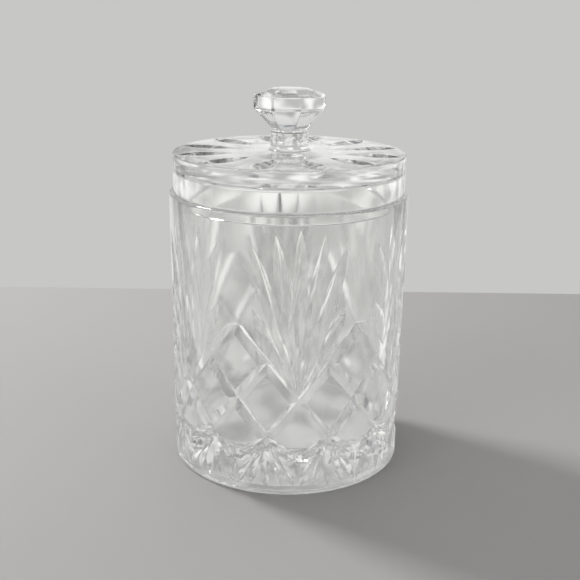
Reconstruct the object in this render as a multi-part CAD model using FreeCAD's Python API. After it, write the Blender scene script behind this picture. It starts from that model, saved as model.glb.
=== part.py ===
# Biscuit jar of cut crystal: a straight glass drum, a hollow lid that lifts off, and a faceted knob
# bonded on the lid's neck. Millimetres, +Z up, origin at the middle of the face that the jar stands on.
import FreeCAD, Part

import os
from math import cos, radians, sin, tan

from FreeCAD import Vector

UP = Vector(0, 0, 1)

# Overall sizes of the drum
BODY_HEIGHT = 148.0
FOOT_DIAMETER = 125.0
RIM_DIAMETER = 127.0

# Glass thickness of the drum
RIM_WALL = 6.5
FLOOR_WALL = 9.0
FLOOR_THICKNESS = 20.0
FLOOR_FILLET = 6.0

# Rounded edges of the drum
HEEL_ROUND = 1.5
RIM_ROUND = 1.3

# Underside of the drum
FOOT_RING_WIDTH = 8.0
FOOT_RECESS = 2.5

# Lid
LID_INSET = 2.2
LID_EDGE_HEIGHT = 20.4
LID_PLATE_THICKNESS = 9.4
LID_RING_DEPTH = 7.0
LID_RING_WALL = 4.0
LID_RING_CLEARANCE = 1.0
LID_ROUND = 0.8
LID_CEILING_FILLET = 2.0

# Low rise of the lid to its neck
RISE_RADIUS = 30.0
RISE_HEIGHT = 1.0
NECK_RADIUS = 10.0
NECK_FLARE = 1.6
NECK_HEIGHT = 8.0

# Knob: heights of its steps from the bonded face up, and the corner radius of each eight-sided outline
KNOB_SIDES = 8
KNOB_TURN = 16.5
KNOB_FOOT_HEIGHT = 2.0
KNOB_WAIST_RADIUS = 9.2
KNOB_WAIST_HEIGHT = 1.6
KNOB_THROAT_CORNER = 10.0
KNOB_SHOULDER_CORNER = 15.2
KNOB_SHOULDER_HEIGHT = 5.6
KNOB_UNDERSIDE_HEIGHT = 4.4
KNOB_CORNER = 19.6
KNOB_GIRDLE_HEIGHT = 6.7
KNOB_TABLE_CORNER = 10.0
KNOB_CROWN_HEIGHT = 3.3

# Pattern on the wall: fans stand on a band of diamonds, and rays run down from the band
FANS = 6
FAN_TURN = 5.5
FAN_BASE_HEIGHT = 51.5
DIAMOND_RISE = 20.0
FAN_TOP_MARGIN = 6.5
RAY_END_HEIGHT = 3.5

# V cuts of the pattern: half of the angle between their sides, and how deep they go
WALL_CUT_HALF_ANGLE = 48.5
DIAMOND_CUT_DEPTH = 3.0
LEAF_CUT_DEPTH = 3.4
RAY_CUT_DEPTH = 3.0

# Leaves of one fan: azimuth of the tip from the fan's middle, and share of the fan's height that it reaches
LEAVES = [(0.0, 1.0), (11.0, 0.97), (21.5, 0.9), (21.5, 0.55)]

# Depth of a leaf along its length, as shares: it widens to its belly and runs out fast at the tip
LEAF_PROFILE = [(0.0, 0.25), (0.68, 1.0), (0.88, 0.78), (1.0, -0.04)]

# Rays below one node of the band: azimuth of the end from the node, and how far down it goes
RAYS = [(0.0, 1.0), (7.5, 0.94), (14.5, 1.0), (13.0, 0.42)]
RAY_PROFILE = [(0.0, 0.7), (0.45, 1.0), (1.0, -0.04)]

# Long lens-shaped cuts on the lid's top, which stop short of its edge
LID_CUTS = 12
LID_CUT_START = 29.0
LID_CUT_MARGIN = 2.0
LID_CUT_DEPTH = 2.8
LID_CUT_HALF_ANGLE = 63.0
LID_CUT_PROFILE = [(0.0, -0.03), (0.3, 0.72), (0.6, 1.0), (0.84, 0.66), (1.0, -0.03)]

# How far a cutter stands above its highest keel point, and how far it runs on past a crossing
CUTTER_REACH = 6.0
CUTTER_OVERRUN = 1.2

# About how much radius each flat of a rounded edge on the turned glass stands for
ROUND_PER_FLAT = 2.0


def rounded(before, corner, after, size):
    """Points of an arc of that radius that rounds the corner between its two neighbours."""
    back = (before - corner).normalize()
    onward = (after - corner).normalize()
    half_angle = back.getAngle(onward) / 2
    centre = corner + (back + onward).normalize() * (size / sin(half_angle))
    first = corner + back * (size / tan(half_angle))
    last = corner + onward * (size / tan(half_angle))
    flats = max(1, round(size / ROUND_PER_FLAT))
    spokes = [first + (last - first) * (k / flats) - centre for k in range(flats + 1)]
    return [centre + spoke.normalize() * size for spoke in spokes]


def revolve(profile):
    """Glass turned once round the Z axis. The profile holds (radius, height, size of the corner's round)."""
    corners = [Vector(radius, 0, height) for radius, height, _ in profile]
    outline = []
    for k, (_, _, size) in enumerate(profile):
        if size:
            outline += rounded(corners[k - 1], corners[k], corners[(k + 1) % len(corners)], size)
        else:
            outline.append(corners[k])
    return Part.Face(Part.makePolygon(outline + outline[:1])).revolve(Vector(0, 0, 0), UP, 360)


def polyhedron(outlines):
    """Solid closed by flat faces, each given by its corners."""
    faces = [Part.Face(Part.makePolygon(outline + outline[:1])) for outline in outlines]
    solid = Part.Solid(Part.Shell(faces))
    if solid.Volume < 0:
        solid.reverse()
    return solid


def outer_radius(height):
    """Radius of the drum's outside, which widens evenly from the foot to the rim."""
    foot = FOOT_DIAMETER / 2
    return foot + (RIM_DIAMETER / 2 - foot) * height / BODY_HEIGHT


def drum():
    """The uncut glass drum: wall, thick floor, rounded rim and heel, and recess inside the foot ring."""
    foot = FOOT_DIAMETER / 2
    rim = RIM_DIAMETER / 2
    mouth = rim - RIM_WALL
    corner = outer_radius(FLOOR_THICKNESS) - FLOOR_WALL
    recess = foot - HEEL_ROUND - FOOT_RING_WIDTH
    return revolve([
        (0, FOOT_RECESS, 0), (recess, FOOT_RECESS, 0), (recess, 0, 0), (foot, 0, HEEL_ROUND),
        (rim, BODY_HEIGHT, RIM_ROUND), (mouth, BODY_HEIGHT, RIM_ROUND),
        (corner, FLOOR_THICKNESS, FLOOR_FILLET), (0, FLOOR_THICKNESS, 0)])


def lid_blank():
    """The uncut lid: disc, hollow skirt that sits on the rim, ring that drops into the mouth, and neck."""
    seat = BODY_HEIGHT
    top = seat + LID_EDGE_HEIGHT
    edge = RIM_DIAMETER / 2 - LID_INSET
    ring = RIM_DIAMETER / 2 - RIM_WALL - LID_RING_CLEARANCE
    hollow = ring - LID_RING_WALL
    ceiling = top - LID_PLATE_THICKNESS
    ring_end = seat - LID_RING_DEPTH
    neck_foot = top + RISE_HEIGHT
    neck_top = neck_foot + NECK_HEIGHT
    return revolve([
        (0, ceiling, 0), (hollow, ceiling, LID_CEILING_FILLET), (hollow, ring_end, LID_ROUND),
        (ring, ring_end, LID_ROUND), (ring, seat, 0), (edge, seat, LID_ROUND), (edge, top, LID_ROUND),
        (RISE_RADIUS, top, 0), (NECK_RADIUS, neck_foot, NECK_FLARE), (NECK_RADIUS, neck_top, 0), (0, neck_top, 0)])


def wall_point(azimuth, height, depth):
    """Point under the drum's outside. Azimuth is in degrees from -Y, towards +X."""
    radius = outer_radius(height) - depth
    turn = radians(azimuth)
    return Vector(radius * sin(turn), -radius * cos(turn), height)


def mitre(keel, outward, half_angle):
    """V-shaped cutter: its sharp bottom edge runs through the keel points and its flat sides open outward.

    The sides have one slope all along, so each stays flat between two keel points.
    """
    side = outward.cross(keel[-1] - keel[0]).normalize() * tan(radians(half_angle))
    level = max(outward.dot(point) for point in keel) + CUTTER_REACH
    lefts = [point + (outward + side) * (level - outward.dot(point)) for point in keel]
    rights = [point + (outward - side) * (level - outward.dot(point)) for point in keel]
    outlines = [lefts + rights[::-1], [keel[0], lefts[0], rights[0]], [keel[-1], rights[-1], lefts[-1]]]
    for k in range(len(keel) - 1):
        outlines.append([keel[k], keel[k + 1], lefts[k + 1], lefts[k]])
        outlines.append([keel[k], rights[k], rights[k + 1], keel[k + 1]])
    return polyhedron(outlines)


def wall_cut(start, end, depth, profile):
    """Cutter on the drum's outside between two (azimuth, height) places, its depth set by the profile."""
    keel = []
    for share, deep in profile:
        azimuth = start[0] + share * (end[0] - start[0])
        height = start[1] + share * (end[1] - start[1])
        keel.append(wall_point(azimuth, height, deep * depth))
    middle = radians((start[0] + end[0]) / 2)
    return mitre(keel, Vector(sin(middle), -cos(middle), 0), WALL_CUT_HALF_ANGLE)


def diamond_cut(start, end):
    """Cutter along one side of a diamond, straight from node to node and a little past both."""
    first = wall_point(*start, DIAMOND_CUT_DEPTH)
    last = wall_point(*end, DIAMOND_CUT_DEPTH)
    past = (last - first).normalize() * CUTTER_OVERRUN
    middle = radians((start[0] + end[0]) / 2)
    return mitre([first - past, last + past], Vector(sin(middle), -cos(middle), 0), WALL_CUT_HALF_ANGLE)


def diamond_cuts(fan):
    """The band's cuts that belong to one fan: they cross at nodes a quarter of the fan's pitch apart."""
    step = 360 / FANS / 4
    low = FAN_BASE_HEIGHT - DIAMOND_RISE
    base = FAN_BASE_HEIGHT
    corner = FAN_BASE_HEIGHT + DIAMOND_RISE
    peak = FAN_BASE_HEIGHT + 2 * DIAMOND_RISE
    cutters = []
    for side in (-step, step):
        cutters.append(diamond_cut((fan, base), (fan + side, corner)))
        cutters.append(diamond_cut((fan + side, corner), (fan + 2 * side, peak)))
        cutters.append(diamond_cut((fan + 2 * side, base), (fan + side, corner)))
        cutters.append(diamond_cut((fan, base), (fan + side, low)))
        cutters.append(diamond_cut((fan + 2 * side, base), (fan + side, low)))
    return cutters


def both_sides(azimuth):
    """The azimuth and its mirror, or only the middle."""
    return (-azimuth, azimuth) if azimuth else (0.0,)


def fan_cuts(fan):
    """The leaves of one fan, which spread up from its base."""
    reach = BODY_HEIGHT - FAN_TOP_MARGIN - FAN_BASE_HEIGHT
    base = (fan, FAN_BASE_HEIGHT)
    cutters = []
    for lean, share in LEAVES:
        for azimuth in both_sides(lean):
            tip = (fan + azimuth, FAN_BASE_HEIGHT + share * reach)
            cutters.append(wall_cut(base, tip, LEAF_CUT_DEPTH, LEAF_PROFILE))
    return cutters


def ray_cuts(fan):
    """The rays that run down from the two lowest nodes of one fan's diamonds."""
    step = 360 / FANS / 4
    node_height = FAN_BASE_HEIGHT - DIAMOND_RISE
    drop = node_height - RAY_END_HEIGHT
    cutters = []
    for node in (fan - step, fan + step):
        for lean, share in RAYS:
            for azimuth in both_sides(lean):
                end = (node + azimuth, node_height - share * drop)
                cutters.append(wall_cut((node, node_height), end, RAY_CUT_DEPTH, RAY_PROFILE))
    return cutters


def lid_cuts():
    """Cutters of the lens-shaped cuts that stand like spokes on the lid's top."""
    edge = RIM_DIAMETER / 2 - LID_INSET
    top = BODY_HEIGHT + LID_EDGE_HEIGHT
    cutters = []
    for k in range(LID_CUTS):
        turn = radians(360 * (k + 0.5) / LID_CUTS)
        keel = []
        for share, deep in LID_CUT_PROFILE:
            radius = LID_CUT_START + share * (edge - LID_CUT_MARGIN - LID_CUT_START)
            keel.append(Vector(radius * sin(turn), -radius * cos(turn), top - deep * LID_CUT_DEPTH))
        cutters.append(mitre(keel, UP, LID_CUT_HALF_ANGLE))
    return cutters


def jar_body():
    """The drum with its fans, diamonds and rays cut into it."""
    cutters = []
    for k in range(FANS):
        fan = FAN_TURN + 360 * k / FANS
        cutters += diamond_cuts(fan) + fan_cuts(fan) + ray_cuts(fan)
    return drum().cut(cutters)


def lid():
    """The lid with its top cut."""
    return lid_blank().cut(lid_cuts())


def octagon(corner, height):
    """Corners of an eight-sided outline round the Z axis, with that corner radius at that height."""
    turns = [radians(KNOB_TURN + 360 * k / KNOB_SIDES) for k in range(KNOB_SIDES)]
    return [Vector(corner * sin(turn), -corner * cos(turn), height) for turn in turns]


def faceted(rings):
    """Solid with flat facets between outlines that lie one above the other."""
    outlines = [rings[0], rings[-1][::-1]]
    for low, high in zip(rings, rings[1:]):
        for k in range(len(low)):
            outlines.append([low[k - 1], low[k], high[k], high[k - 1]])
    return polyhedron(outlines)


def lid_knob():
    """Faceted knob on its round foot, with the foot's face on the top of the lid's neck."""
    seat = BODY_HEIGHT + LID_EDGE_HEIGHT + RISE_HEIGHT + NECK_HEIGHT
    throat = seat + KNOB_FOOT_HEIGHT + KNOB_WAIST_HEIGHT
    shoulder = throat + KNOB_SHOULDER_HEIGHT
    girdle = shoulder + KNOB_UNDERSIDE_HEIGHT
    crown = girdle + KNOB_GIRDLE_HEIGHT
    foot = Part.makeCylinder(NECK_RADIUS, KNOB_FOOT_HEIGHT, Vector(0, 0, seat))
    waist = Part.makeCylinder(KNOB_WAIST_RADIUS, throat - seat, Vector(0, 0, seat))
    head = faceted([
        octagon(KNOB_THROAT_CORNER, throat),
        octagon(KNOB_SHOULDER_CORNER, shoulder),
        octagon(KNOB_CORNER, girdle),
        octagon(KNOB_CORNER, crown),
        octagon(KNOB_TABLE_CORNER, crown + KNOB_CROWN_HEIGHT),
    ])
    return head.fuse([foot, waist])


def save(name, shape):
    """Writes one node, and prints what it is made of."""
    solids = shape.Solids
    print(name, "solids", len(solids), "faces", len(shape.Faces), "volume", round(shape.Volume), shape.isValid())
    solids[0].exportStep(f"parts/{name}.step")


os.makedirs("parts", exist_ok=True)
save("jar_body", jar_body())
save("lid", lid())
save("lid_knob", lid_knob())
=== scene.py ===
import logging
import math
from dataclasses import dataclass, field
from enum import Enum
from typing import Callable

import bpy
import bmesh
from mathutils import Matrix, Vector


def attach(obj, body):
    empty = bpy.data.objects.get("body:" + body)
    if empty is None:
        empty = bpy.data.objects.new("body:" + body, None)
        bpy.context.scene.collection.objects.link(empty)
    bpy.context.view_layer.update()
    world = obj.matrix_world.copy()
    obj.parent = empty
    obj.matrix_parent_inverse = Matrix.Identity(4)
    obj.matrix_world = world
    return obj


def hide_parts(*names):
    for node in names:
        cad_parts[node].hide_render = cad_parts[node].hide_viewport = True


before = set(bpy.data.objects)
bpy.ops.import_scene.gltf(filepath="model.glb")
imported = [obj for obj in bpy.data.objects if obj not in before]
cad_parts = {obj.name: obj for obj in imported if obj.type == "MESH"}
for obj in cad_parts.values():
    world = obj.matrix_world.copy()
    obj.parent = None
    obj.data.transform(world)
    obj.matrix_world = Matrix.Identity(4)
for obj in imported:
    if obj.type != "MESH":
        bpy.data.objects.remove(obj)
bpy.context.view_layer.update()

LOG = logging.getLogger("biscuit_jar")
MM = 0.001
JAR_AXIS = (0.0, 0.0, 0.0)

# Points nearer than this are merged, in millimetres. Faces that meet at less than this angle, in
# degrees, are shaded smooth.
DOUBLES = 0.0005
SMOOTH_ANGLE = 18.0

# A triangle in a circle of radius 1: how tall it is, and half of its base.
TRIANGLE_HEIGHT = 1.5
TRIANGLE_HALF_BASE = math.cos(math.radians(30.0))


class Body(Enum):
    """Bodies of the frame that pieces ride on."""

    JAR = "jar"
    LID = "lid"


class Pick(Enum):
    """What an edit-mode selection is made of."""

    POINTS = "VERT"
    EDGES = "EDGE"
    FACES = "FACE"


@dataclass(frozen=True)
class Spot:
    """A place on the drum's outside: degrees from -Y towards +X, and height in millimetres."""

    azimuth: float
    height: float


# Bench work


def put_down() -> None:
    """Leaves edit mode and deselects every object."""
    if bpy.context.mode != "OBJECT":
        bpy.ops.object.mode_set(mode="OBJECT")
    bpy.ops.object.select_all(action="DESELECT")


def take_up(piece: bpy.types.Object) -> None:
    """Makes the piece the only selected and active object.

    Args:
        piece: The object to work on.
    """
    put_down()
    piece.select_set(True)
    bpy.context.view_layer.objects.active = piece


def settle(name: str) -> bpy.types.Object:
    """Writes the new primitive's place into its mesh, names it and opens it with nothing selected.

    Args:
        name: Name of the object.

    Returns:
        The object.
    """
    piece = bpy.context.object
    piece.name = name
    piece.data.name = name
    bpy.ops.object.transform_apply(location=True, rotation=True, scale=True)
    bpy.ops.object.mode_set(mode="EDIT")
    bpy.ops.mesh.select_all(action="DESELECT")
    return piece


def pick(kind: Pick, test: Callable[[object], bool]) -> int:
    """Selects the points, edges or faces of the open mesh that pass the test, and only those.

    Args:
        kind: Kind of element to select.
        test: Says whether an element is wanted.

    Returns:
        How many were selected.
    """
    bpy.ops.mesh.select_mode(type=kind.value)
    bpy.ops.mesh.select_all(action="DESELECT")
    mesh = bpy.context.object.data
    shape = bmesh.from_edit_mesh(mesh)
    elements = {Pick.POINTS: shape.verts, Pick.EDGES: shape.edges, Pick.FACES: shape.faces}[kind]
    found = 0
    for element in elements:
        if test(element):
            element.select_set(True)
            found += 1
    shape.select_flush_mode()
    bmesh.update_edit_mesh(mesh)
    return found


def ring_at(radius: float, height: float, slack: float = 0.05) -> Callable[[object], bool]:
    """A test for the edges of the ring at that radius and height.

    Args:
        radius: Radius from the jar's axis, in millimetres.
        height: Height, in millimetres.
        slack: How far off a point may be, in millimetres.

    Returns:
        The test.
    """

    def on_ring(edge: object) -> bool:
        """True if both ends of the edge are on the ring."""
        return all(
            abs(point.co.xy.length - radius * MM) < slack * MM
            and abs(point.co.z - height * MM) < slack * MM
            for point in edge.verts
        )

    return on_ring


def cap_at(height: float, up: bool, slack: float = 0.05) -> Callable[[object], bool]:
    """A test for the flat many-sided face at that height that looks up or down.

    Args:
        height: Height, in millimetres.
        up: True for a face that looks up.
        slack: How far off it may be, in millimetres.

    Returns:
        The test.
    """

    def is_cap(face: object) -> bool:
        """True for the wanted cap."""
        return (
            len(face.verts) > 4
            and abs(face.calc_center_median().z - height * MM) < slack * MM
            and (face.normal.z > 0.9 if up else face.normal.z < -0.9)
        )

    return is_cap


def spread(scale: float) -> None:
    """Scales the selection about the jar's axis, and keeps its height.

    Args:
        scale: Factor on the radius.
    """
    bpy.ops.transform.resize(value=(scale, scale, 1.0), center_override=JAR_AXIS)


def raise_by(height: float) -> None:
    """Moves the selection up by that many millimetres."""
    bpy.ops.transform.translate(value=(0.0, 0.0, height * MM))


def turn_by(degrees: float) -> None:
    """Turns the selection about the jar's axis, from -Y towards +X."""
    bpy.ops.transform.rotate(
        value=-math.radians(degrees), orient_axis="Z", center_override=JAR_AXIS
    )


def extrude_by(x: float, y: float, z: float) -> None:
    """Extrudes the selection by that many millimetres along each axis."""
    bpy.ops.mesh.extrude_region_move(TRANSFORM_OT_translate={"value": (x * MM, y * MM, z * MM)})


def inset_by(width: float) -> None:
    """Insets the selected face by that many millimetres."""
    bpy.ops.mesh.inset(thickness=width * MM, depth=0.0)


def round_ring(radius: float, height: float, size: float, flats: int) -> None:
    """Rounds the corner of the turned glass at that ring.

    Args:
        radius: Radius of the ring, in millimetres.
        height: Height of the ring, in millimetres.
        size: How far the round reaches from the corner, in millimetres.
        flats: How many strips it is made of.
    """
    if not pick(Pick.EDGES, ring_at(radius, height)):
        raise ValueError(f"no ring at radius {radius} and height {height}")
    bpy.ops.mesh.bevel(offset=size * MM, segments=flats, profile=0.5, affect="EDGES")


def twin_facets(mesh: bpy.types.Mesh) -> set[int]:
    """Finds facets that would share a diagonal with a neighbour once both are cut into triangles.

    Args:
        mesh: The mesh.

    Returns:
        The index of the simpler facet of each such pair.
    """
    mesh.calc_loop_triangles()
    owners: dict[tuple[int, int], list[int]] = {}
    for triangle in mesh.loop_triangles:
        a, b, c = sorted(triangle.vertices)
        for edge in ((a, b), (b, c), (a, c)):
            owners.setdefault(edge, []).append(triangle.polygon_index)
    shared = [set(faces) for faces in owners.values() if len(faces) > 2]
    corners = [len(facet.vertices) for facet in mesh.polygons]
    return {min(faces, key=lambda face: (corners[face], face)) for faces in shared}


def close_up(piece: bpy.types.Object) -> None:
    """Merges doubles, turns normals outward, makes all triangles meet in pairs and shades smooth.

    Args:
        piece: The glass, cut to shape.
    """
    take_up(piece)
    bpy.ops.object.mode_set(mode="EDIT")
    bpy.ops.mesh.select_all(action="SELECT")
    bpy.ops.mesh.remove_doubles(threshold=DOUBLES * MM)
    bpy.ops.mesh.normals_make_consistent(inside=False)
    bpy.ops.object.mode_set(mode="OBJECT")
    while twins := twin_facets(piece.data):
        bpy.ops.object.mode_set(mode="EDIT")
        pick(Pick.FACES, lambda face: face.index in twins)
        bpy.ops.mesh.poke(center_mode="MEDIAN_WEIGHTED")
        bpy.ops.object.mode_set(mode="OBJECT")
    bpy.ops.object.shade_smooth_by_angle(angle=math.radians(SMOOTH_ANGLE))


def copy_turned(cutter: bpy.types.Object, degrees: float) -> bpy.types.Object:
    """A copy with its own mesh, turned about the jar's axis.

    Args:
        cutter: The object to copy.
        degrees: Turn from -Y towards +X.

    Returns:
        The copy.
    """
    copy = cutter.copy()
    copy.data = cutter.data.copy()
    copy.data.transform(Matrix.Rotation(math.radians(degrees), 4, "Z"))
    bpy.context.scene.collection.objects.link(copy)
    return copy


def cut_away(piece: bpy.types.Object, cutters: list[bpy.types.Object], keep: bool = False) -> None:
    """Takes the cutters out of the piece, or joins them to it, and throws them away.

    Args:
        piece: The glass.
        cutters: Closed solids.
        keep: True to join them to the piece instead.
    """
    box = bpy.data.collections.new("cutters")
    bpy.context.scene.collection.children.link(box)
    for cutter in cutters:
        box.objects.link(cutter)
    take_up(piece)
    work = piece.modifiers.new("cut", "BOOLEAN")
    work.operation = "UNION" if keep else "DIFFERENCE"
    work.solver = "MANIFOLD"
    work.operand_type = "COLLECTION"
    work.collection = box
    bpy.ops.object.modifier_apply(modifier=work.name)
    for cutter in cutters:
        bpy.data.objects.remove(cutter)
    bpy.data.collections.remove(box)


# Finishes


@dataclass
class NodeGroup:
    """A shader node group under construction."""

    name: str
    inputs: dict[str, float]
    outputs: tuple[str, ...]
    tree: bpy.types.NodeTree = field(init=False)
    source: bpy.types.Node = field(init=False)
    sink: bpy.types.Node = field(init=False)

    def __post_init__(self) -> None:
        """Makes the empty group with its sockets."""
        self.tree = bpy.data.node_groups.new(self.name, "ShaderNodeTree")
        sockets = self.tree.interface
        for name, value in self.inputs.items():
            socket = sockets.new_socket(name, in_out="INPUT", socket_type="NodeSocketFloat")
            socket.default_value = value
        for name in self.outputs:
            sockets.new_socket(name, in_out="OUTPUT", socket_type="NodeSocketFloat")
        self.source = self.tree.nodes.new("NodeGroupInput")
        self.sink = self.tree.nodes.new("NodeGroupOutput")

    def node(self, kind: str, **values: object) -> bpy.types.Node:
        """Adds a node.

        Args:
            kind: Its Blender type.
            values: Properties of the node, or default values of its inputs by socket name.

        Returns:
            The node.
        """
        return add_node(self.tree, kind, **values)


def add_node(tree: bpy.types.NodeTree, kind: str, **values: object) -> bpy.types.Node:
    """Adds a node to a tree.

    Args:
        tree: The tree.
        kind: The node's Blender type.
        values: Properties of the node, or default values of its inputs with spaces as underscores.

    Returns:
        The node.
    """
    node = tree.nodes.new(kind)
    for key, value in values.items():
        socket = next((s for s in node.inputs if s.name.replace(" ", "_") == key), None)
        if socket is not None:
            socket.default_value = value
        else:
            setattr(node, key, value)
    return node


def polish_group() -> bpy.types.NodeTree:
    """Builds the group for hand-polished glass: a slow ripple, and haze where it was handled.

    Returns:
        The group: inputs Ripple Scale, Haze Scale; outputs Height and Haze.
    """
    group = NodeGroup("hand_polish", {"Ripple Scale": 60.0, "Haze Scale": 25.0}, ("Height", "Haze"))
    place = group.node("ShaderNodeTexCoord")
    ripple = group.node("ShaderNodeTexNoise", Detail=2.0, Roughness=0.45)
    haze = group.node("ShaderNodeTexNoise", Detail=5.0, Roughness=0.6)
    clear = group.node("ShaderNodeMapRange", From_Min=0.5, From_Max=0.78, To_Min=0.0, To_Max=1.0)
    links = group.tree.links
    for noise, scale in ((ripple, "Ripple Scale"), (haze, "Haze Scale")):
        links.new(place.outputs["Object"], noise.inputs["Vector"])
        links.new(group.source.outputs[scale], noise.inputs["Scale"])
    links.new(haze.outputs["Fac"], clear.inputs["Value"])
    links.new(ripple.outputs["Fac"], group.sink.inputs["Height"])
    links.new(clear.outputs["Result"], group.sink.inputs["Haze"])
    return group.tree


def seat_group() -> bpy.types.NodeTree:
    """Builds the group that marks a thin band between two heights, where resting glass is worn.

    Returns:
        The group: inputs Low, High and Edge in metres; output Mask.
    """
    group = NodeGroup("resting_wear", {"Low": 0.0, "High": 0.001, "Edge": 0.0004}, ("Mask",))
    place = group.node("ShaderNodeTexCoord")
    parts = group.node("ShaderNodeSeparateXYZ")
    links = group.tree.links
    links.new(place.outputs["Object"], parts.inputs["Vector"])
    sides = []
    for end, sign in (("Low", 1.0), ("High", -1.0)):
        gap = group.node("ShaderNodeMath", operation="SUBTRACT")
        links.new(parts.outputs["Z"], gap.inputs[0])
        links.new(group.source.outputs[end], gap.inputs[1])
        share = group.node("ShaderNodeMath", operation="DIVIDE")
        links.new(gap.outputs[0], share.inputs[0])
        links.new(group.source.outputs["Edge"], share.inputs[1])
        side = group.node("ShaderNodeMath", operation="MULTIPLY_ADD", use_clamp=True)
        links.new(share.outputs[0], side.inputs[0])
        side.inputs[1].default_value = sign
        side.inputs[2].default_value = 1.0
        sides.append(side)
    both = group.node("ShaderNodeMath", operation="MULTIPLY")
    links.new(sides[0].outputs[0], both.inputs[0])
    links.new(sides[1].outputs[0], both.inputs[1])
    links.new(both.outputs[0], group.sink.inputs["Mask"])
    return group.tree


def inside_group() -> bpy.types.NodeTree:
    """Builds the group that marks the moulded inside of a hollow, duller than the cut outside.

    Returns:
        The group: inputs Radius, Low and High in metres; output Mask.
    """
    group = NodeGroup("moulded_inside", {"Radius": 0.058, "Low": 0.01, "High": 1.0}, ("Mask",))
    place = group.node("ShaderNodeTexCoord")
    flat = group.node("ShaderNodeVectorMath", operation="MULTIPLY")
    flat.inputs[1].default_value = (1.0, 1.0, 0.0)
    reach = group.node("ShaderNodeVectorMath", operation="LENGTH")
    parts = group.node("ShaderNodeSeparateXYZ")
    links = group.tree.links
    links.new(place.outputs["Object"], flat.inputs[0])
    links.new(flat.outputs["Vector"], reach.inputs[0])
    links.new(place.outputs["Object"], parts.inputs["Vector"])
    tests = []
    for operation, value, limit in (
        ("LESS_THAN", reach.outputs["Value"], "Radius"),
        ("GREATER_THAN", parts.outputs["Z"], "Low"),
        ("LESS_THAN", parts.outputs["Z"], "High"),
    ):
        test = group.node("ShaderNodeMath", operation=operation)
        links.new(value, test.inputs[0])
        links.new(group.source.outputs[limit], test.inputs[1])
        tests.append(test)
    mask = tests[0]
    for test in tests[1:]:
        both = group.node("ShaderNodeMath", operation="MULTIPLY")
        links.new(mask.outputs[0], both.inputs[0])
        links.new(test.outputs[0], both.inputs[1])
        mask = both
    links.new(mask.outputs[0], group.sink.inputs["Mask"])
    return group.tree


@dataclass(frozen=True)
class Wear:
    """A band of ground or worn glass between two heights, in millimetres."""

    low: float
    high: float
    edge: float
    roughness: float


@dataclass(frozen=True)
class Hollow:
    """A hollow's inside: all within a radius and between two heights, in millimetres."""

    radius: float
    low: float
    high: float
    roughness: float
    ripple: float


@dataclass(frozen=True)
class Crystal:
    """Clear polished crystal."""

    name: str
    tint: tuple[float, float, float, float]
    index: float = 1.53
    ripple: float = 0.02
    ripple_scale: float = 60.0
    haze: float = 0.02
    wear: tuple[Wear, ...] = ()
    hollow: Hollow | None = None

    def material(
        self, polish: bpy.types.NodeTree, seat: bpy.types.NodeTree, inside: bpy.types.NodeTree
    ) -> bpy.types.Material:
        """Builds the material.

        Args:
            polish: The hand_polish group.
            seat: The resting_wear group.
            inside: The moulded_inside group.

        Returns:
            The material.
        """
        material = bpy.data.materials.new(self.name)
        material.use_nodes = True
        tree = material.node_tree
        glass = tree.nodes["Principled BSDF"]
        glass.inputs["Base Color"].default_value = self.tint
        glass.inputs["Transmission Weight"].default_value = 1.0
        glass.inputs["IOR"].default_value = self.index
        surface = add_node(tree, "ShaderNodeGroup", node_tree=polish)
        surface.inputs["Ripple Scale"].default_value = self.ripple_scale
        rough = add_node(tree, "ShaderNodeMath", operation="MULTIPLY")
        tree.links.new(surface.outputs["Haze"], rough.inputs[0])
        rough.inputs[1].default_value = self.haze
        for band in self.wear:
            mask = add_node(tree, "ShaderNodeGroup", node_tree=seat)
            mask.inputs["Low"].default_value = band.low * MM
            mask.inputs["High"].default_value = band.high * MM
            mask.inputs["Edge"].default_value = band.edge * MM
            more = add_node(tree, "ShaderNodeMath", operation="MULTIPLY_ADD")
            tree.links.new(mask.outputs["Mask"], more.inputs[0])
            more.inputs[1].default_value = band.roughness
            tree.links.new(rough.outputs[0], more.inputs[2])
            rough = more
        height = surface.outputs["Height"]
        if self.hollow:
            mask = add_node(tree, "ShaderNodeGroup", node_tree=inside)
            mask.inputs["Radius"].default_value = self.hollow.radius * MM
            mask.inputs["Low"].default_value = self.hollow.low * MM
            mask.inputs["High"].default_value = self.hollow.high * MM
            dull = add_node(tree, "ShaderNodeMath", operation="MULTIPLY_ADD")
            tree.links.new(mask.outputs["Mask"], dull.inputs[0])
            dull.inputs[1].default_value = self.hollow.roughness
            tree.links.new(rough.outputs[0], dull.inputs[2])
            rough = dull
            gain = add_node(tree, "ShaderNodeMath", operation="MULTIPLY_ADD")
            tree.links.new(mask.outputs["Mask"], gain.inputs[0])
            gain.inputs[1].default_value = self.hollow.ripple
            gain.inputs[2].default_value = 1.0
            waves = add_node(tree, "ShaderNodeMath", operation="MULTIPLY")
            tree.links.new(height, waves.inputs[0])
            tree.links.new(gain.outputs[0], waves.inputs[1])
            height = waves.outputs[0]
        tree.links.new(rough.outputs[0], glass.inputs["Roughness"])
        bump = add_node(tree, "ShaderNodeBump", Strength=self.ripple, Distance=0.001)
        tree.links.new(height, bump.inputs["Height"])
        tree.links.new(bump.outputs["Normal"], glass.inputs["Normal"])
        return material


# The glass pieces


@dataclass(frozen=True)
class Run:
    """Depth of a V cut along its length, as a share of its full depth."""

    start: float
    belly: float
    end: float
    rise: float = 1.5
    fall: float = 2.3

    def depth(self, share: float) -> float:
        """Share of the full depth at that share of the length."""
        if share < self.belly:
            return 1.0 - (1.0 - self.start) * ((self.belly - share) / self.belly) ** self.rise
        return 1.0 - (1.0 - self.end) * ((share - self.belly) / (1.0 - self.belly)) ** self.fall


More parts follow.
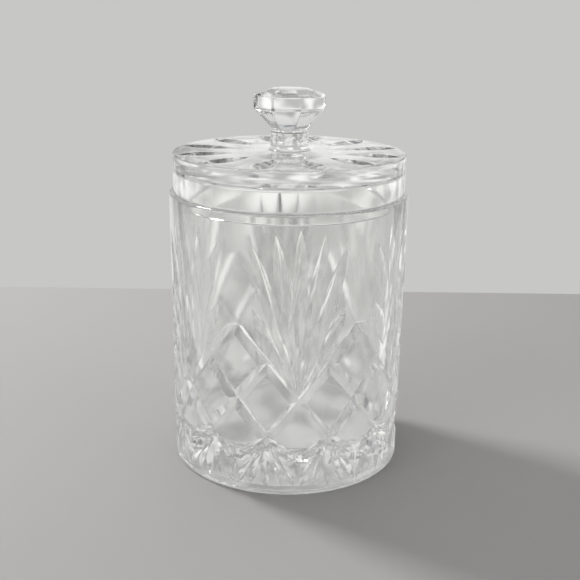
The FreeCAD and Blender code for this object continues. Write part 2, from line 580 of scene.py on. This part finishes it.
@dataclass
class JarBody:
    """The drum: thick floor, one-piece wall, foot ring, and fans, diamonds and rays cut into it.

    The rim stops 0.05 mm below the lid's skirt, so that no glass faces coincide.
    """

    height: float = 147.95
    foot_radius: float = 62.46
    rim_radius: float = 63.46
    rim_wall: float = 6.5
    floor_wall: float = 9.0
    floor_height: float = 20.0
    floor_round: float = 6.0
    heel_round: float = 1.5
    rim_round: float = 1.3
    ring_width: float = 8.0
    recess: float = 2.5
    recess_round: float = 0.5
    sides: int = 288
    heel_flats: int = 5
    recess_flats: int = 3
    rim_flats: int = 6
    floor_flats: int = 12
    fans: int = 6
    fan_turn: float = 5.5
    fan_base: float = 51.5
    diamond_rise: float = 20.0
    fan_top: float = 141.5
    ray_end: float = 3.5
    half_angle: float = 48.5
    diamond_depth: float = 3.0
    leaf_depth: float = 3.4
    ray_depth: float = 3.0
    blade: float = 9.0
    long_stations: int = 24
    short_stations: int = 8
    leaf_stations: int = 22
    ray_stations: int = 12
    stagger_rise: float = 0.007
    stagger_turn: float = 0.0015
    leaf_run: Run = Run(0.25, 0.7, -0.04)
    ray_run: Run = Run(0.7, 0.45, -0.04, 1.6, 2.0)
    leaves: tuple[tuple[float, float], ...] = (
        (0.0, 1.0),
        (11.0, 0.97),
        (-11.0, 0.97),
        (21.5, 0.9),
        (-21.5, 0.9),
        (21.5, 0.55),
        (-21.5, 0.55),
    )
    rays: tuple[tuple[float, float], ...] = (
        (0.0, 1.0),
        (7.5, 0.94),
        (-7.5, 0.94),
        (14.5, 1.0),
        (-14.5, 1.0),
        (13.0, 0.42),
        (-13.0, 0.42),
    )

    def outer_radius(self, height: float) -> float:
        """Radius of the outside at that height, in millimetres."""
        return self.foot_radius + (self.rim_radius - self.foot_radius) * height / self.height

    def blank(self) -> bpy.types.Object:
        """Shapes the uncut drum.

        Returns:
            The drum.
        """
        put_down()
        bpy.ops.mesh.primitive_cylinder_add(
            vertices=self.sides,
            radius=self.foot_radius * MM,
            depth=self.height * MM,
            location=(0.0, 0.0, self.height / 2 * MM),
        )
        drum = settle("jar_glass_body")
        pick(Pick.FACES, cap_at(self.height, True))
        spread(self.rim_radius / self.foot_radius)
        inset_by(self.rim_wall)
        mouth = self.rim_radius - self.rim_wall
        extrude_by(0.0, 0.0, self.floor_height - self.height)
        corner = self.outer_radius(self.floor_height) - self.floor_wall
        spread(corner / mouth)
        pick(Pick.FACES, cap_at(0.0, False))
        inset_by(self.heel_round + self.ring_width)
        recess = self.foot_radius - self.heel_round - self.ring_width
        extrude_by(0.0, 0.0, self.recess)
        round_ring(self.foot_radius, 0.0, self.heel_round, self.heel_flats)
        round_ring(recess, 0.0, self.recess_round, self.recess_flats)
        round_ring(self.rim_radius, self.height, self.rim_round, self.rim_flats)
        round_ring(mouth, self.height, self.rim_round, self.rim_flats)
        round_ring(corner, self.floor_height, self.floor_round, self.floor_flats)
        bpy.ops.object.mode_set(mode="OBJECT")
        return drum

    def groove(
        self, start: Spot, end: Spot, depth: float, run: Run | None, stations: int
    ) -> bpy.types.Object:
        """Shapes a V cutter that follows the wall from one place to another.

        Args:
            start: Where the keel starts.
            end: Where the keel ends.
            depth: Full depth, in millimetres.
            run: Depth along the length, or None for a cut of one depth.
            stations: How many lengths the cutter is made of.

        Returns:
            The cutter.
        """

        def keel(share: float) -> tuple[float, float, float]:
            """Azimuth, height and radius of the keel at that share of the length."""
            azimuth = start.azimuth + share * (end.azimuth - start.azimuth)
            height = start.height + share * (end.height - start.height)
            deep = depth * (run.depth(share) if run else 1.0)
            return azimuth, height, self.outer_radius(height) - deep

        along = math.radians(end.azimuth - start.azimuth) * self.foot_radius
        lean = math.atan2(abs(along), abs(end.height - start.height))
        half_width = self.blade * math.tan(math.radians(self.half_angle)) / math.cos(lean)
        azimuth, height, radius = keel(0.0)
        put_down()
        bpy.ops.mesh.primitive_circle_add(vertices=3, radius=MM, fill_type="NGON")
        cutter = settle("groove")
        bpy.ops.mesh.select_all(action="SELECT")
        reach = self.blade / TRIANGLE_HEIGHT
        bpy.ops.transform.resize(
            value=(half_width / TRIANGLE_HALF_BASE, reach, 1.0), center_override=JAR_AXIS
        )
        bpy.ops.transform.translate(value=(0.0, -(radius + reach) * MM, height * MM))
        turn_by(azimuth)
        for k in range(1, stations + 1):
            new_azimuth, new_height, new_radius = keel(k / stations)
            extrude_by(0.0, 0.0, new_height - height)
            if new_azimuth != azimuth:
                turn_by(new_azimuth - azimuth)
            out = (new_radius - radius) * MM
            way = math.radians(new_azimuth)
            bpy.ops.transform.translate(value=(out * math.sin(way), -out * math.cos(way), 0.0))
            azimuth, height, radius = new_azimuth, new_height, new_radius
        bpy.ops.mesh.select_all(action="SELECT")
        bpy.ops.mesh.normals_make_consistent(inside=False)
        bpy.ops.object.mode_set(mode="OBJECT")
        return cutter

    def diamond_grooves(self) -> list[bpy.types.Object]:
        """Shapes the band's grooves that belong to the first fan."""
        step = 360.0 / self.fans / 4
        fan = self.fan_turn
        low = self.fan_base - self.diamond_rise
        corner = self.fan_base + self.diamond_rise
        peak = self.fan_base + 2 * self.diamond_rise
        cutters = []
        for side in (-step, step):
            valley = Spot(fan + 2 * side, self.fan_base)
            for start, end, stations in (
                (Spot(fan - side, low), Spot(fan + 2 * side, peak), self.long_stations),
                (Spot(fan + side, low), valley, self.short_stations),
                (valley, Spot(fan + side, corner), self.short_stations),
            ):
                cutters.append(self.groove(start, end, self.diamond_depth, None, stations))
        return cutters

    def fan_grooves(self) -> list[bpy.types.Object]:
        """Shapes the leaves of the first fan."""
        base = Spot(self.fan_turn, self.fan_base)
        reach = self.fan_top - self.fan_base
        return [
            self.groove(
                base,
                Spot(self.fan_turn + lean, self.fan_base + share * reach),
                self.leaf_depth,
                self.leaf_run,
                self.leaf_stations,
            )
            for lean, share in self.leaves
        ]

    def ray_grooves(self) -> list[bpy.types.Object]:
        """Shapes the rays below the first fan's two lowest nodes."""
        step = 360.0 / self.fans / 4
        node = Spot(self.fan_turn - step, self.fan_base - self.diamond_rise)
        drop = node.height - self.ray_end
        cutters = []
        for lean, share in self.rays:
            end = Spot(node.azimuth + lean, node.height - share * drop)
            cutter = self.groove(node, end, self.ray_depth, self.ray_run, self.ray_stations)
            cutters += [cutter, copy_turned(cutter, 2 * step)]
        return cutters

    def build(self) -> bpy.types.Object:
        """Cuts the pattern into the drum.

        Each cutter is first shifted by a hair, so that no two of them share a face.

        Returns:
            The finished drum.
        """
        drum = self.blank()
        first = self.diamond_grooves() + self.fan_grooves() + self.ray_grooves()
        for index, cutter in enumerate(first):
            turn = Matrix.Rotation(math.radians(index * self.stagger_turn), 4, "Z")
            rise = Matrix.Translation((0.0, 0.0, index * self.stagger_rise * MM))
            cutter.data.transform(rise @ turn)
        cutters = list(first)
        for k in range(1, self.fans):
            cutters += [copy_turned(cutter, 360.0 * k / self.fans) for cutter in first]
        cut_away(drum, cutters)
        close_up(drum)
        return drum

    def dress(self, drum: bpy.types.Object, material: bpy.types.Material) -> None:
        """Gives the drum its finish and its place in the frame."""
        drum.data.materials.clear()
        drum.data.materials.append(material)
        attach(drum, Body.JAR.value)
        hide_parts("jar_body")


@dataclass
class Lid:
    """The cover: disc cut with lenses, hollow skirt, locating ring and neck."""

    seat: float = 148.0
    edge_radius: float = 61.3
    edge_height: float = 20.4
    skirt_height: float = 11.0
    ring_radius: float = 56.0
    ring_depth: float = 7.0
    ring_wall: float = 4.0
    round_size: float = 0.8
    ceiling_round: float = 2.0
    rise_radius: float = 30.0
    rise: float = 1.0
    neck_radius: float = 10.0
    neck_flare: float = 1.6
    neck_height: float = 8.0
    sides: int = 288
    ceiling_flats: int = 6
    edge_flats: int = 4
    neck_flats: int = 6
    cuts: int = 12
    cut_start: float = 29.0
    cut_margin: float = 2.0
    cut_depth: float = 2.8
    cut_half_angle: float = 63.0
    cut_run: Run = Run(-0.03, 0.6, -0.03, 1.9, 1.9)
    cut_stations: int = 24
    blade: float = 6.0

    def blank(self) -> bpy.types.Object:
        """Shapes the uncut cover.

        Returns:
            The cover.
        """
        top = self.seat + self.edge_height
        put_down()
        bpy.ops.mesh.primitive_cylinder_add(
            vertices=self.sides,
            radius=self.edge_radius * MM,
            depth=self.edge_height * MM,
            location=(0.0, 0.0, (self.seat + top) / 2 * MM),
        )
        cover = settle("lid_glass_cover")
        pick(Pick.FACES, cap_at(self.seat, False))
        inset_by(self.edge_radius - self.ring_radius)
        extrude_by(0.0, 0.0, -self.ring_depth)
        inset_by(self.ring_wall)
        extrude_by(0.0, 0.0, self.ring_depth + self.skirt_height)
        hollow = self.ring_radius - self.ring_wall
        pick(Pick.FACES, cap_at(top, True))
        inset_by(self.edge_radius - self.rise_radius)
        inset_by(self.rise_radius - self.neck_radius)
        raise_by(self.rise)
        extrude_by(0.0, 0.0, self.neck_height)
        end = self.seat - self.ring_depth
        round_ring(hollow, self.seat + self.skirt_height, self.ceiling_round, self.ceiling_flats)
        for radius, height in (
            (hollow, end),
            (self.ring_radius, end),
            (self.edge_radius, self.seat),
            (self.edge_radius, top),
        ):
            round_ring(radius, height, self.round_size, self.edge_flats)
        round_ring(self.neck_radius, top + self.rise, self.neck_flare, self.neck_flats)
        bpy.ops.object.mode_set(mode="OBJECT")
        return cover

    def lens_cut(self) -> bpy.types.Object:
        """Shapes the cutter of one long lens on the top.

        Returns:
            The cutter, along -Y.
        """
        half_width = self.blade * math.tan(math.radians(self.cut_half_angle))
        top = self.seat + self.edge_height
        length = self.edge_radius - self.cut_margin - self.cut_start
        put_down()
        bpy.ops.mesh.primitive_circle_add(
            vertices=3, radius=MM, fill_type="NGON", rotation=(math.radians(-90.0), 0.0, 0.0)
        )
        cutter = settle("lens_cut")
        bpy.ops.mesh.select_all(action="SELECT")
        reach = self.blade / TRIANGLE_HEIGHT
        bpy.ops.transform.resize(
            value=(half_width / TRIANGLE_HALF_BASE, 1.0, reach), center_override=JAR_AXIS
        )
        height = top - self.cut_depth * self.cut_run.depth(0.0)
        bpy.ops.transform.translate(value=(0.0, -self.cut_start * MM, (height + reach) * MM))
        for k in range(1, self.cut_stations + 1):
            new_height = top - self.cut_depth * self.cut_run.depth(k / self.cut_stations)
            extrude_by(0.0, -length / self.cut_stations, new_height - height)
            height = new_height
        bpy.ops.mesh.select_all(action="SELECT")
        bpy.ops.mesh.normals_make_consistent(inside=False)
        bpy.ops.object.mode_set(mode="OBJECT")
        return cutter

    def build(self) -> bpy.types.Object:
        """Cuts the spokes of lenses into the cover.

        Returns:
            The finished cover.
        """
        cover = self.blank()
        pattern = self.lens_cut()
        pitch = 360.0 / self.cuts
        cutters = [copy_turned(pattern, pitch * (k + 0.5)) for k in range(self.cuts)]
        bpy.data.objects.remove(pattern)
        cut_away(cover, cutters)
        close_up(cover)
        return cover

    def dress(self, cover: bpy.types.Object, material: bpy.types.Material) -> None:
        """Gives the cover its finish and its place in the frame."""
        cover.data.materials.clear()
        cover.data.materials.append(material)
        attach(cover, Body.LID.value)
        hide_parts("lid")


@dataclass
class Knob:
    """The faceted finial with its round foot.

    The foot goes 0.05 mm into the lid's neck, so that no glass faces coincide.
    """

    seat: float = 177.35
    facets: int = 8
    turn: float = 16.5
    foot_radius: float = 10.0
    foot_height: float = 2.0
    waist_radius: float = 9.2
    throat: float = 181.0
    throat_corner: float = 10.0
    shoulder: float = 186.6
    shoulder_corner: float = 15.2
    girdle: float = 191.0
    corner: float = 19.6
    crown: float = 197.7
    table: float = 201.0
    table_corner: float = 10.0
    arris: float = 0.25
    arris_flats: int = 2
    shortest_arris: float = 2.0
    foot_round: float = 0.7
    waist_round: float = 0.3
    waist_sunk: float = 0.5
    waist_past: float = 0.6
    stem_sides: int = 96
    top_flats: int = 4
    underside_flats: int = 3

    def head(self) -> bpy.types.Object:
        """Shapes the faceted head.

        Returns:
            The head.
        """
        put_down()
        bpy.ops.mesh.primitive_circle_add(
            vertices=self.facets,
            radius=self.throat_corner * MM,
            fill_type="NGON",
            location=(0.0, 0.0, self.throat * MM),
            rotation=(0.0, 0.0, math.radians(self.turn + 180.0)),
        )
        head = settle("knob_glass_finial")
        bpy.ops.mesh.select_all(action="SELECT")
        height, corner = self.throat, self.throat_corner
        for new_height, new_corner in (
            (self.shoulder, self.shoulder_corner),
            (self.girdle, self.corner),
            (self.crown, self.corner),
            (self.table, self.table_corner),
        ):
            extrude_by(0.0, 0.0, new_height - height)
            spread(new_corner / corner)
            height, corner = new_height, new_corner
        bpy.ops.mesh.select_all(action="SELECT")
        bpy.ops.mesh.normals_make_consistent(inside=False)
        pick(Pick.EDGES, lambda edge: edge.calc_length() > self.shortest_arris * MM)
        bpy.ops.mesh.bevel(
            offset=self.arris * MM, segments=self.arris_flats, profile=0.5, affect="EDGES"
        )
        bpy.ops.object.mode_set(mode="OBJECT")
        return head

    def stem(self, radius: float, low: float, high: float, edge: float) -> bpy.types.Object:
        """Shapes a round step of the foot with rounded edges.

        Args:
            radius: Its radius, in millimetres.
            low: Height of its underside.
            high: Height of its top.
            edge: Size of its rounded top edge; the lower one's is half of it.

        Returns:
            The step.
        """
        put_down()
        bpy.ops.mesh.primitive_cylinder_add(
            vertices=self.stem_sides,
            radius=radius * MM,
            depth=(high - low) * MM,
            location=(0.0, 0.0, (low + high) / 2 * MM),
        )
        step = settle("knob_step")
        round_ring(radius, high, edge, self.top_flats)
        round_ring(radius, low, edge / 2, self.underside_flats)
        bpy.ops.object.mode_set(mode="OBJECT")
        return step

    def build(self) -> bpy.types.Object:
        """Joins the head and the foot.

        Returns:
            The finished knob.
        """
        head = self.head()
        foot = self.stem(self.foot_radius, self.seat, self.seat + self.foot_height, self.foot_round)
        low, high = self.seat + self.waist_sunk, self.throat + self.waist_past
        waist = self.stem(self.waist_radius, low, high, self.waist_round)
        cut_away(head, [foot, waist], keep=True)
        close_up(head)
        return head

    def dress(self, knob: bpy.types.Object, material: bpy.types.Material) -> None:
        """Gives the knob its finish and its place in the frame."""
        knob.data.materials.clear()
        knob.data.materials.append(material)
        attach(knob, Body.LID.value)
        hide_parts("lid_knob")


# The room


@dataclass(frozen=True)
class Patch:
    """A soft round area of the room, such as a window. Inner and outer are degrees off its middle."""

    towards: tuple[float, float, float]
    inner: float
    outer: float
    colour: tuple[float, float, float]


@dataclass(frozen=True)
class Lamp:
    """A square soft lamp: its place and side in metres, and its power in watts."""

    name: str
    place: tuple[float, float, float]
    size: float
    power: float


@dataclass
class Room:
    """Pale table top, pale wall tone, soft lights and the camera. Sizes are in metres."""

    sky: tuple[tuple[float, tuple[float, float, float, float]], ...] = (
        (0.0, (0.92, 0.92, 0.90, 1.0)),
        (0.5, (1.05, 1.05, 1.03, 1.0)),
        (0.72, (0.68, 0.68, 0.68, 1.0)),
        (1.0, (0.56, 0.57, 0.59, 1.0)),
    )
    patches: tuple[Patch, ...] = (
        Patch((0.15, -1.0, 0.30), 12.0, 48.0, (0.30, 0.30, 0.31)),
        Patch((1.0, 0.1, 0.25), 8.0, 30.0, (0.38, 0.38, 0.39)),
        Patch((-0.8, -0.55, 0.55), 12.0, 24.0, (1.5, 1.52, 1.56)),
    )
    lamps: tuple[Lamp, ...] = (
        Lamp("key", (-0.72, 0.50, 1.02), 0.2, 9.0),
        Lamp("fill", (-0.9, -1.3, 1.1), 1.2, 3.0),
    )
    lamp_aim: tuple[float, float, float] = (0.0, 0.0, 0.09)
    wall_grey: tuple[float, float, float, float] = (0.571, 0.571, 0.558, 1.0)
    table_grey: tuple[float, float, float, float] = (0.47, 0.46, 0.445, 1.0)
    # Painted light: glass sees the table top mostly as a glow of this colour, at this share, in place of
    # its lit paint and shadow.
    table_glow_in_glass: tuple[float, float, float, float] = (0.67, 0.675, 0.66, 1.0)
    table_glow_share: float = 0.8
    table_roughness: float = 0.7
    table_shade: float = 0.94
    table_cloud: float = 3.0
    table_back: float = 0.297
    table_size: float = 4.0
    table_height: float = -0.0001
    camera_distance: float = 0.5072
    camera_height: float = 0.2483
    camera_pitch: float = 17.14
    camera_roll: float = 0.72
    lens: float = 59.9
    sensor: float = 36.0
    clip: float = 0.01
    shift: float = 0.004
    bounces: int = 14
    furniture_scale: float = 5.0
    furniture_low: float = 0.5
    furniture_high: float = 1.02
    # How fine, how dim and how bright the table's painted glow is, as glass sees it.
    glow_mottle_scale: float = 30.0
    glow_mottle_low: float = 0.62
    glow_mottle_high: float = 1.08
    cloud_low: float = 0.38
    cloud_high: float = 0.58

    def mottle(
        self,
        tree: bpy.types.NodeTree,
        place: bpy.types.NodeSocket,
        scale: float,
        low: float,
        high: float,
    ) -> bpy.types.NodeSocket:
        """Adds an uneven brightness: in the world it stands for things in the room, on the table it is
        painted glow.

        Args:
            tree: The node tree to add it to.
            place: The direction or place it depends on.
            scale: How fine its patches are.
            low: Its darkest value.
            high: Its brightest value.

        Returns:
            The socket with the value.
        """
        cloud = add_node(tree, "ShaderNodeTexNoise", Scale=scale, Detail=1.0)
        tree.links.new(place, cloud.inputs["Vector"])
        level = add_node(tree, "ShaderNodeMapRange", interpolation_type="SMOOTHSTEP")
        level.inputs["From Min"].default_value = self.cloud_low
        level.inputs["From Max"].default_value = self.cloud_high
        level.inputs["To Min"].default_value = low
        level.inputs["To Max"].default_value = high
        tree.links.new(cloud.outputs["Fac"], level.inputs["Value"])
        return level.outputs["Result"]

    def table_finish(self) -> bpy.types.Material:
        """Builds the table top's finish.

        Seen directly it is matt and pale, with a slow change of tone. Through or in glass it is mostly
        a paler, uneven glow, chosen so that the crystal's tones come near the photograph's.

        Returns:
            The material.
        """
        material = bpy.data.materials.new("pale_table")
        material.use_nodes = True
        tree = material.node_tree
        matt = tree.nodes["Principled BSDF"]
        matt.inputs["Roughness"].default_value = self.table_roughness
        place = add_node(tree, "ShaderNodeTexCoord")
        cloud = add_node(tree, "ShaderNodeTexNoise", Scale=self.table_cloud, Detail=3.0)
        tree.links.new(place.outputs["Object"], cloud.inputs["Vector"])
        tone = add_node(tree, "ShaderNodeMix", data_type="RGBA")
        colours = [socket for socket in tone.inputs if socket.type == "RGBA"]
        colours[0].default_value = self.table_grey
        colours[1].default_value = (*(c * self.table_shade for c in self.table_grey[:3]), 1.0)
        tree.links.new(cloud.outputs["Fac"], tone.inputs["Factor"])
        out = next(socket for socket in tone.outputs if socket.type == "RGBA")
        tree.links.new(out, matt.inputs["Base Color"])
        # Painted light: glass and glossy rays see the table as this emitted glow, not as its lit paint,
        # so the jar's own shadow mostly doesn't show in the glass.
        painted_glow = add_node(tree, "ShaderNodeEmission")
        painted_glow.inputs["Color"].default_value = self.table_glow_in_glass
        ground = place.outputs["Object"]
        # The painted glow's strength is made uneven across the table.
        glow_mottle = self.mottle(tree, ground, self.glow_mottle_scale, self.glow_mottle_low, self.glow_mottle_high)
        tree.links.new(glow_mottle, painted_glow.inputs["Strength"])
        path = add_node(tree, "ShaderNodeLightPath")
        through = add_node(tree, "ShaderNodeMath", operation="ADD", use_clamp=True)
        tree.links.new(path.outputs["Is Transmission Ray"], through.inputs[0])
        tree.links.new(path.outputs["Is Glossy Ray"], through.inputs[1])
        share = add_node(tree, "ShaderNodeMath", operation="MULTIPLY")
        tree.links.new(through.outputs[0], share.inputs[0])
        share.inputs[1].default_value = self.table_glow_share
        mix = add_node(tree, "ShaderNodeMixShader")
        tree.links.new(share.outputs[0], mix.inputs[0])
        tree.links.new(matt.outputs[0], mix.inputs[1])
        tree.links.new(painted_glow.outputs[0], mix.inputs[2])
        surface = next(node for node in tree.nodes if node.type == "OUTPUT_MATERIAL")
        tree.links.new(mix.outputs[0], surface.inputs["Surface"])
        return material

    def table(self) -> None:
        """Lays the table top."""
        put_down()
        middle = (0.0, self.table_back - self.table_size / 2, self.table_height)
        bpy.ops.mesh.primitive_plane_add(size=self.table_size, location=middle)
        top = bpy.context.object
        top.name = "table_top"
        bpy.ops.object.transform_apply(location=True, rotation=True, scale=True)
        top.data.materials.append(self.table_finish())

    def world(self) -> None:
        """Sets the soft uneven light, which glass shows, and the plain tone that the camera sees."""
        world = bpy.data.worlds.new("soft_room")
        bpy.context.scene.world = world
        world.use_nodes = True
        tree = world.node_tree
        tree.nodes.clear()
        out = add_node(tree, "ShaderNodeOutputWorld")
        light = add_node(tree, "ShaderNodeBackground", Strength=1.0)
        wall = add_node(tree, "ShaderNodeBackground", Strength=1.0)
        wall.inputs["Color"].default_value = self.wall_grey
        place = add_node(tree, "ShaderNodeTexCoord")
        parts = add_node(tree, "ShaderNodeSeparateXYZ")
        tree.links.new(place.outputs["Generated"], parts.inputs["Vector"])
        ramp = add_node(tree, "ShaderNodeValToRGB")
        stops = ramp.color_ramp.elements
        stops[0].position, stops[0].color = self.sky[0]
        stops[1].position, stops[1].color = self.sky[-1]
        for position, colour in self.sky[1:-1]:
            stop = stops.new(position)
            stop.color = colour
        lift = add_node(tree, "ShaderNodeMapRange", From_Min=-1.0, From_Max=1.0)
        tree.links.new(parts.outputs["Z"], lift.inputs["Value"])
        tree.links.new(lift.outputs["Result"], ramp.inputs["Fac"])
        shade = ramp.outputs["Color"]
        for patch in self.patches:
            aim = add_node(tree, "ShaderNodeVectorMath", operation="DOT_PRODUCT")
            tree.links.new(place.outputs["Generated"], aim.inputs[0])
            aim.inputs[1].default_value = Vector(patch.towards).normalized()
            spot = add_node(tree, "ShaderNodeMapRange", interpolation_type="SMOOTHSTEP")
            spot.inputs["From Min"].default_value = math.cos(math.radians(patch.outer))
            spot.inputs["From Max"].default_value = math.cos(math.radians(patch.inner))
            tree.links.new(aim.outputs["Value"], spot.inputs["Value"])
            blend = add_node(tree, "ShaderNodeMix", data_type="RGBA")
            colours = [socket for socket in blend.inputs if socket.type == "RGBA"]
            colours[1].default_value = (*patch.colour, 1.0)
            tree.links.new(shade, colours[0])
            tree.links.new(spot.outputs["Result"], blend.inputs["Factor"])
            shade = next(socket for socket in blend.outputs if socket.type == "RGBA")
        tree.links.new(shade, light.inputs["Color"])
        way = place.outputs["Generated"]
        low, high = self.furniture_low, self.furniture_high
        things = self.mottle(tree, way, self.furniture_scale, low, high)
        tree.links.new(things, light.inputs["Strength"])
        path = add_node(tree, "ShaderNodeLightPath")
        mix = add_node(tree, "ShaderNodeMixShader")
        tree.links.new(path.outputs["Is Camera Ray"], mix.inputs[0])
        tree.links.new(light.outputs[0], mix.inputs[1])
        tree.links.new(wall.outputs[0], mix.inputs[2])
        tree.links.new(mix.outputs[0], out.inputs["Surface"])

    def hang_lamps(self) -> None:
        """Hangs the lamps: a key at the back left, for a shadow to the front right, and a fill."""
        for lamp in self.lamps:
            data = bpy.data.lights.new(lamp.name, "AREA")
            data.size = lamp.size
            data.energy = lamp.power
            light = bpy.data.objects.new(lamp.name, data)
            bpy.context.scene.collection.objects.link(light)
            light.location = lamp.place
            aim = Vector(lamp.place) - Vector(self.lamp_aim)
            light.rotation_euler = aim.to_track_quat("Z", "Y").to_euler()

    def camera(self) -> None:
        """Stands the camera at the photograph's viewing angle."""
        data = bpy.data.cameras.new("camera")
        data.lens = self.lens
        data.sensor_width = self.sensor
        data.shift_x = self.shift
        data.clip_start = self.clip
        camera = bpy.data.objects.new("camera", data)
        bpy.context.scene.collection.objects.link(camera)
        tilt = Matrix.Rotation(math.radians(90.0 - self.camera_pitch), 4, "X")
        roll = Matrix.Rotation(math.radians(self.camera_roll), 4, "Z")
        place = Matrix.Translation((0.0, -self.camera_distance, self.camera_height))
        camera.matrix_world = place @ tilt @ roll
        bpy.context.scene.camera = camera

    def build(self) -> None:
        """Sets up the room. The bounce limit was chosen for the contrast that it leaves in the glass."""
        self.table()
        self.world()
        self.hang_lamps()
        self.camera()
        scene = bpy.context.scene
        scene.view_settings.view_transform = "Standard"
        scene.cycles.max_bounces = self.bounces
        scene.cycles.transmission_bounces = self.bounces
        scene.cycles.glossy_bounces = self.bounces


def report(piece: bpy.types.Object) -> None:
    """Logs a finished piece and the size of its mesh."""
    piece.data.calc_loop_triangles()
    LOG.info("%s: %d triangles", piece.name, len(piece.data.loop_triangles))


def main() -> None:
    """Builds the jar, the lid, the knob and the room."""
    logging.basicConfig(level=logging.INFO, format="%(name)s %(message)s")
    polish = polish_group()
    seat = seat_group()
    inside = inside_group()
    clear = (0.989, 0.991, 0.982, 1.0)
    jar_glass = Crystal(
        "jar_crystal",
        clear,
        wear=(Wear(-1.0, 0.15, 0.3, 0.25), Wear(147.9, 149.0, 0.2, 0.12)),
        hollow=Hollow(58.0, 10.0, 147.0, 0.13, 5.0),
    )
    lid_glass = Crystal(
        "lid_crystal",
        clear,
        wear=(Wear(147.5, 148.05, 0.1, 0.10),),
        hollow=Hollow(56.5, 100.0, 160.0, 0.08, 3.0),
    )
    knob_glass = Crystal("knob_crystal", clear, ripple=0.01)
    jar = JarBody()
    drum = jar.build()
    jar.dress(drum, jar_glass.material(polish, seat, inside))
    report(drum)
    lid = Lid()
    cover = lid.build()
    lid.dress(cover, lid_glass.material(polish, seat, inside))
    report(cover)
    knob = Knob()
    finial = knob.build()
    knob.dress(finial, knob_glass.material(polish, seat, inside))
    report(finial)
    Room().build()


if __name__ == "__main__":
    main()
